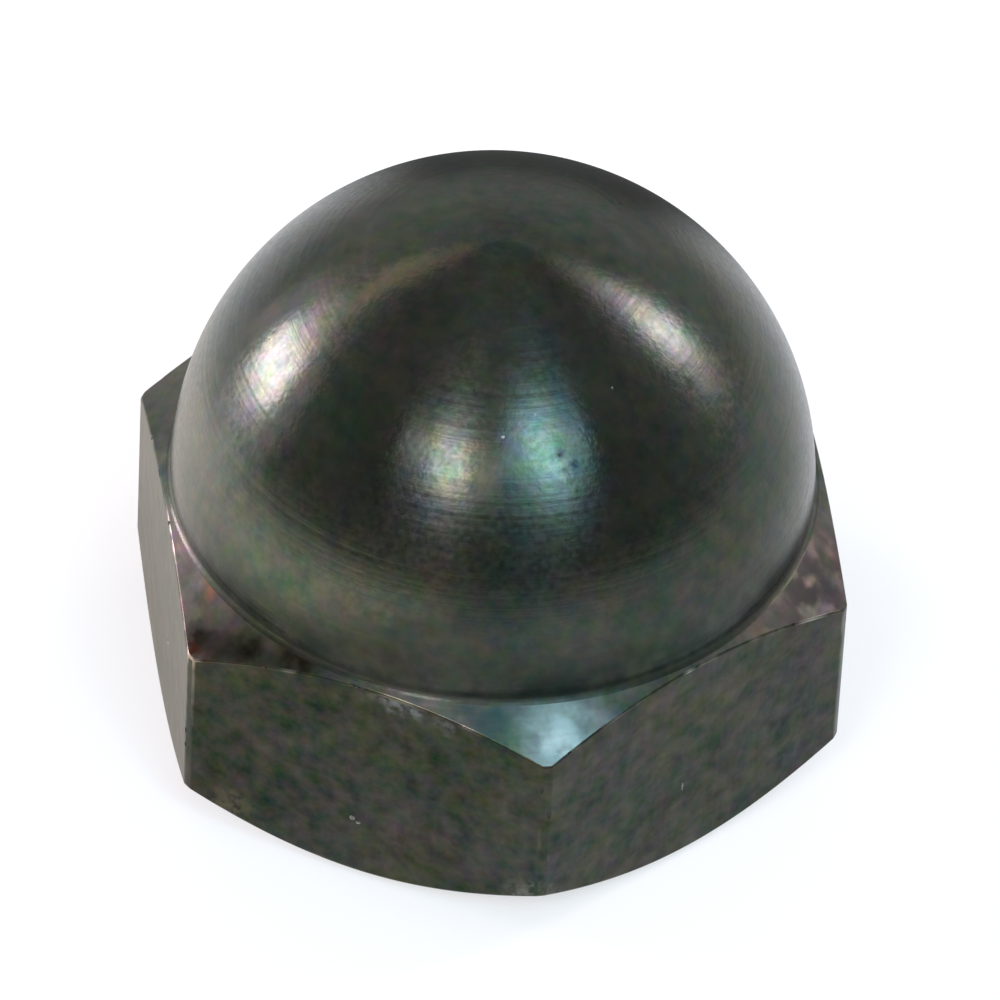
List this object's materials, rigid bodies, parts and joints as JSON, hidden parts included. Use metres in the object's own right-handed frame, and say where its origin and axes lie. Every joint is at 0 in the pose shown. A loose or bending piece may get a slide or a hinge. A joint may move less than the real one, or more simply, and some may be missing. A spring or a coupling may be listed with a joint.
{
  "type": "steering wheel nut",
  "caption": "Domed cap nut for a steering wheel: a hemisphere on a short chamfered hexagon, in blackened steel, with a blind threaded bore opening at its flat bearing face.",
  "frame": {"origin": "centre of the bearing face, where the thread's axis leaves the nut", "axes": "+Z along the thread's axis from the bearing face to the top of the dome; two opposite corners of the hexagon lie on the X axis and two flats face +Y and -Y"},
  "size_m": [0.0272, 0.0238, 0.0214],
  "materials": {
    "black_oxide_steel": "black oxide over turned and drawn steel, lightly oiled and semi-bright, with a few worn edges and small pits"
  },
  "bodies": {
    "root": {"nut": "black_oxide_steel"}
  },
  "joints": []
}
